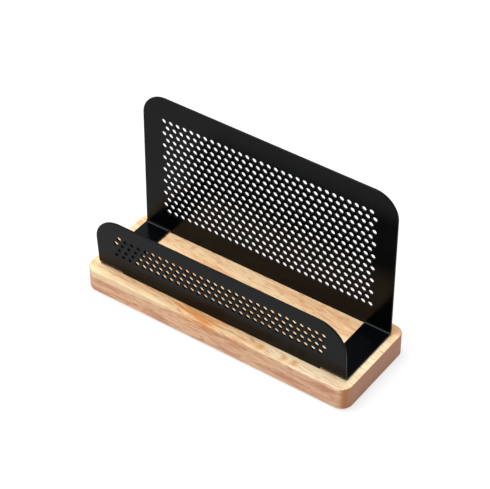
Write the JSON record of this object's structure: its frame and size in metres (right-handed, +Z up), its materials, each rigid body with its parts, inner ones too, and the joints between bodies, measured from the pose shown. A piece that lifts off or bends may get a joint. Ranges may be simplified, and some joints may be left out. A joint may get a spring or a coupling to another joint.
{
  "type": "business card holder stand",
  "caption": "Desk stand for business cards: a folded black perforated steel rack with a tall back panel and a low front panel, fixed on a pale rounded wood base.",
  "frame": {"origin": "middle of the footprint, on the surface that the rubber feet stand on", "axes": "+X along the width to the user's right, +Y from the user towards the tall back panel, +Z up"},
  "size_m": [0.1128, 0.0388, 0.0702],
  "materials": {
    "wood": "satin clear lacquer",
    "black_steel": "satin powder coat",
    "fixing_steel": "zinc plated",
    "foot_rubber": "matt"
  },
  "bodies": {
    "root": {"wood_base": "wood", "card_rack": "black_steel", "left_stud": "fixing_steel", "right_stud": "fixing_steel", "left_washer": "fixing_steel", "right_washer": "fixing_steel", "left_nut": "fixing_steel", "right_nut": "fixing_steel", "front_left_foot": "foot_rubber", "front_right_foot": "foot_rubber", "back_left_foot": "foot_rubber", "back_right_foot": "foot_rubber"}
  },
  "joints": []
}
